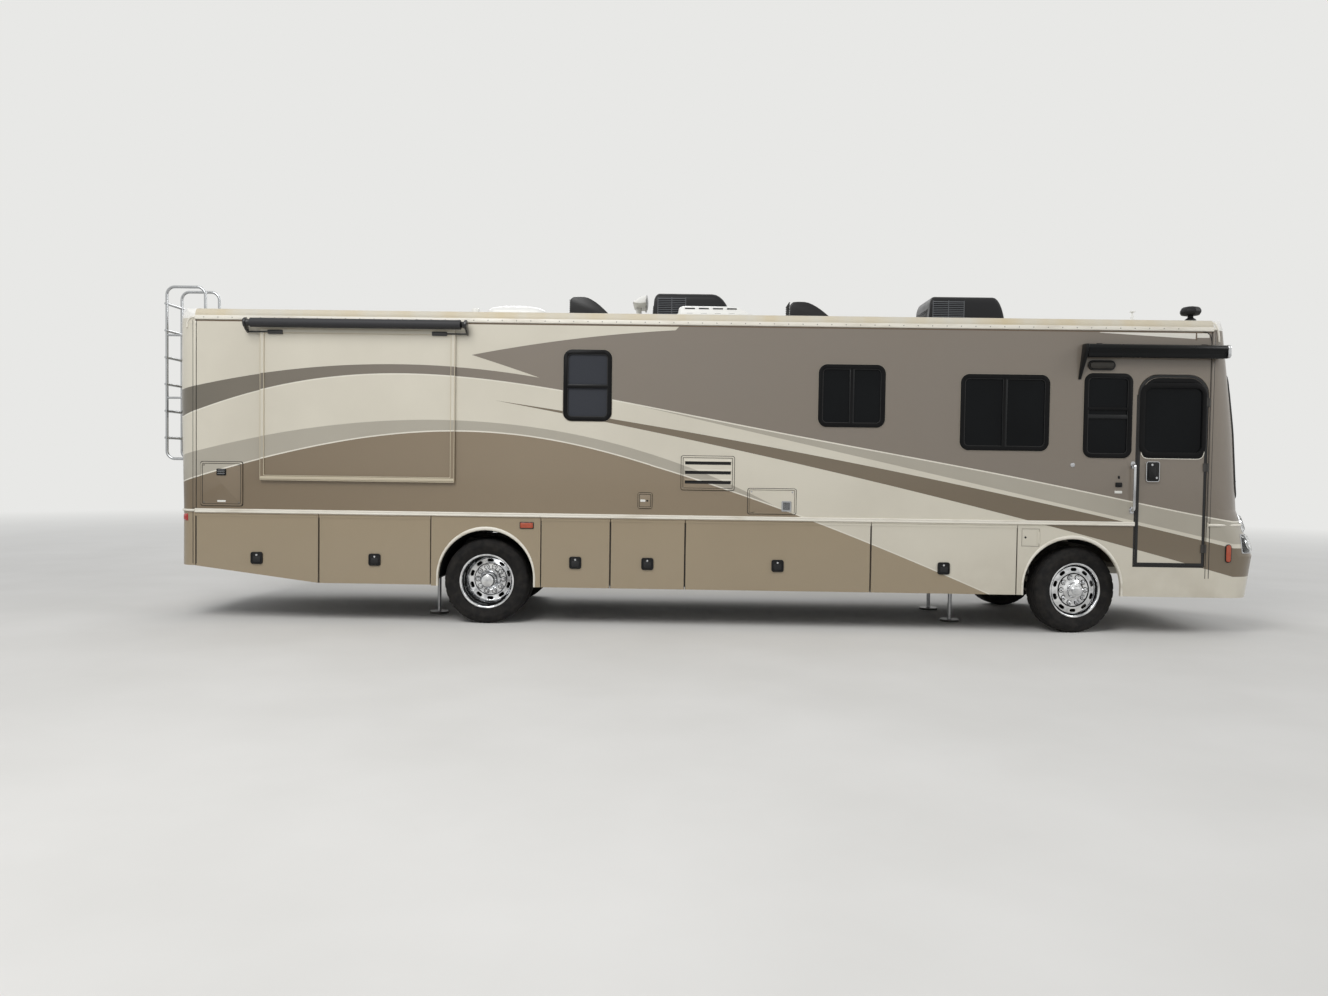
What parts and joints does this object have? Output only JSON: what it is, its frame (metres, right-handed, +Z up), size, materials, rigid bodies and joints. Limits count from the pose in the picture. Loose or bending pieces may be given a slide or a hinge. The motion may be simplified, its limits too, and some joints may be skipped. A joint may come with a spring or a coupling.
{
  "type": "motorhome",
  "caption": "Flat-sided motorhome with slide-out rooms, baggage doors, roof air conditioners, a rear ladder, twin rear wheels and steered front wheels.",
  "frame": {"origin": "on the ground, midway along and across the vehicle", "axes": "+X forward, +Y to the vehicle's left, +Z up"},
  "size_m": [12.1578, 2.8686, 3.8],
  "materials": {
    "coach_paint": "gloss paint in cream, tan, brown and taupe bands",
    "roof_skin": "white moulded sheet, weathered",
    "floor_board": "plain board",
    "bay_lining": "satin",
    "tinted_glass": "dark tint",
    "black_frame": "satin black",
    "pale_trim": "satin",
    "awning_case": "satin black",
    "roof_shroud": "moulded black",
    "roof_plastic": "moulded white and black",
    "ladder_tube": "bright tube",
    "clear_lens": "clear lens over chrome",
    "red_lens": "red lens",
    "black_steel": "black chassis paint",
    "dash_plastic": "grained",
    "seat_leather": "soft",
    "engine_iron": "painted iron",
    "tyre": "rubber",
    "bright_rim": "polished"
  },
  "bodies": {
    "coach": {"chassis_frame": "black_steel", "floor": "floor_board", "storage_trays": "bay_lining", "storage_bulkheads": "bay_lining", "right_wall": "coach_paint", "left_wall": "coach_paint", "roof": "roof_skin", "front_cap": "coach_paint", "rear_cap": "coach_paint", "windshield": "tinted_glass", "side_glass": "tinted_glass", "window_frames": "black_frame", "body_trim": "pale_trim", "arch_panels": "coach_paint", "wall_hatches": "coach_paint", "entry_awning": "awning_case", "roof_air_conditioners": "roof_shroud", "roof_fittings": "roof_plastic", "rear_ladder": "ladder_tube", "front_lamps": "clear_lens", "rear_lamps": "red_lens", "engine_grille": "black_steel", "hitch_receiver": "black_steel", "levelling_jacks": "black_steel", "dashboard": "dash_plastic", "cab_seats": "seat_leather", "engine_block": "engine_iron", "front_axle": "black_steel", "rear_axle": "black_steel"},
    "knuckle_right": {"knuckle_right": "black_steel"},
    "knuckle_left": {"knuckle_left": "black_steel"},
    "tie_rod": {"tie_rod": "black_steel"},
    "front_wheel_right": {"front_tyre_right": "tyre", "front_rim_right": "bright_rim"},
    "rear_wheels_right": {"rear_tyres_right": "tyre", "rear_rims_right": "bright_rim"},
    "front_wheel_left": {"front_tyre_left": "tyre", "front_rim_left": "bright_rim"},
    "rear_wheels_left": {"rear_tyres_left": "tyre", "rear_rims_left": "bright_rim"},
    "entry_door": {"entry_door": "coach_paint", "entry_door_glass": "tinted_glass"},
    "heater_door": {"heater_door": "coach_paint"},
    "fuel_door": {"fuel_door": "coach_paint"},
    "slide_right": {"slide_right": "coach_paint", "slide_topper_right": "awning_case"},
    "slide_left": {"slide_left": "coach_paint", "slide_left_glass": "tinted_glass", "slide_topper_left": "awning_case"},
    "bay_door_right_1": {"bay_door_right_1": "coach_paint"},
    "bay_door_right_2": {"bay_door_right_2": "coach_paint"},
    "bay_door_right_3": {"bay_door_right_3": "coach_paint"},
    "bay_door_right_4": {"bay_door_right_4": "coach_paint"},
    "bay_door_right_5": {"bay_door_right_5": "coach_paint"},
    "bay_door_right_6": {"bay_door_right_6": "coach_paint"},
    "bay_door_left_1": {"bay_door_left_1": "coach_paint"},
    "bay_door_left_2": {"bay_door_left_2": "coach_paint"},
    "bay_door_left_3": {"bay_door_left_3": "coach_paint"},
    "bay_door_left_4": {"bay_door_left_4": "coach_paint"},
    "bay_door_left_5": {"bay_door_left_5": "coach_paint"}
  },
  "joints": [
    {"name": "steer_left", "type": "hinge", "parent": "coach", "child": "knuckle_left", "pos_m": [4.01, 0.9595, 0.465], "axis": [0, 0, 1], "range_deg": [-50, 30]},
    {"name": "steer_right", "type": "hinge", "parent": "coach", "child": "knuckle_right", "pos_m": [4.01, -0.9595, 0.465], "axis": [0, 0, 1], "range_deg": [-50, 30]},
    {"name": "tie_rod_swing", "type": "hinge", "parent": "knuckle_left", "child": "tie_rod", "pos_m": [3.83274, 0.92824, 0.365], "axis": [0, 0, 1], "range_deg": [-30, 50]},
    {"name": "front_wheel_right_spin", "type": "hinge", "parent": "knuckle_right", "child": "front_wheel_right", "pos_m": [4.0357, -1.10525, 0.465], "axis": [-0.1736, 0.9848, 0], "continuous": true},
    {"name": "rear_wheels_right_spin", "type": "hinge", "parent": "coach", "child": "rear_wheels_right", "pos_m": [-2.39, -1.1075, 0.465], "axis": [0, 1, 0], "continuous": true},
    {"name": "front_wheel_left_spin", "type": "hinge", "parent": "knuckle_left", "child": "front_wheel_left", "pos_m": [3.9843, 1.10525, 0.465], "axis": [-0.1736, 0.9848, 0], "continuous": true},
    {"name": "rear_wheels_left_spin", "type": "hinge", "parent": "coach", "child": "rear_wheels_left", "pos_m": [-2.39, 1.1075, 0.465], "axis": [0, 1, 0], "continuous": true},
    {"name": "entry_door_hinge", "type": "hinge", "parent": "coach", "child": "entry_door", "pos_m": [5.414, -1.2883, 1.78], "axis": [0, 0, 1], "range_deg": [0, 100]},
    {"name": "heater_door_hinge", "type": "hinge", "parent": "coach", "child": "heater_door", "pos_m": [0.723, -1.2843, 1.264], "axis": [1, 0, 0], "range_deg": [0, 90]},
    {"name": "fuel_door_hinge", "type": "hinge", "parent": "coach", "child": "fuel_door", "pos_m": [3.631, -1.2843, 1.04], "axis": [0, 0, 1], "range_deg": [0, 100]},
    {"name": "bay_door_right_1_hinge", "type": "hinge", "parent": "coach", "child": "bay_door_right_1", "pos_m": [-4.9045, -1.284, 1.1737], "axis": [-1, 0, 0], "range_deg": [0, 90]},
    {"name": "bay_door_right_2_hinge", "type": "hinge", "parent": "coach", "child": "bay_door_right_2", "pos_m": [-3.6085, -1.284, 1.1737], "axis": [-1, 0, 0], "range_deg": [0, 90]},
    {"name": "bay_door_right_3_hinge", "type": "hinge", "parent": "coach", "child": "bay_door_right_3", "pos_m": [-1.41, -1.284, 1.1737], "axis": [-1, 0, 0], "range_deg": [0, 90]},
    {"name": "bay_door_right_4_hinge", "type": "hinge", "parent": "coach", "child": "bay_door_right_4", "pos_m": [-0.622, -1.284, 1.1737], "axis": [-1, 0, 0], "range_deg": [0, 90]},
    {"name": "bay_door_right_5_hinge", "type": "hinge", "parent": "coach", "child": "bay_door_right_5", "pos_m": [0.796, -1.284, 1.1737], "axis": [-1, 0, 0], "range_deg": [0, 90]},
    {"name": "bay_door_right_6_hinge", "type": "hinge", "parent": "coach", "child": "bay_door_right_6", "pos_m": [2.598, -1.284, 1.1737], "axis": [-1, 0, 0], "range_deg": [0, 90]},
    {"name": "bay_door_left_1_hinge", "type": "hinge", "parent": "coach", "child": "bay_door_left_1", "pos_m": [-4.9045, 1.284, 1.1737], "axis": [1, 0, 0], "range_deg": [0, 90]},
    {"name": "bay_door_left_2_hinge", "type": "hinge", "parent": "coach", "child": "bay_door_left_2", "pos_m": [-3.6085, 1.284, 1.1737], "axis": [1, 0, 0], "range_deg": [0, 90]},
    {"name": "bay_door_left_3_hinge", "type": "hinge", "parent": "coach", "child": "bay_door_left_3", "pos_m": [-1.002, 1.284, 1.1737], "axis": [1, 0, 0], "range_deg": [0, 90]},
    {"name": "bay_door_left_4_hinge", "type": "hinge", "parent": "coach", "child": "bay_door_left_4", "pos_m": [0.796, 1.284, 1.1737], "axis": [1, 0, 0], "range_deg": [0, 90]},
    {"name": "bay_door_left_5_hinge", "type": "hinge", "parent": "coach", "child": "bay_door_left_5", "pos_m": [2.598, 1.284, 1.1737], "axis": [1, 0, 0], "range_deg": [0, 90]},
    {"name": "slide_right_out", "type": "slide", "parent": "coach", "child": "slide_right", "axis": [0, -1, 0], "range_m": [0, 0.56]},
    {"name": "slide_left_out", "type": "slide", "parent": "coach", "child": "slide_left", "axis": [0, 1, 0], "range_m": [0, 0.78]}
  ],
  "couplings": [
    {"joint": "steer_right", "follows": "steer_left", "ratio": 1},
    {"joint": "tie_rod_swing", "follows": "steer_left", "ratio": -1}
  ]
}
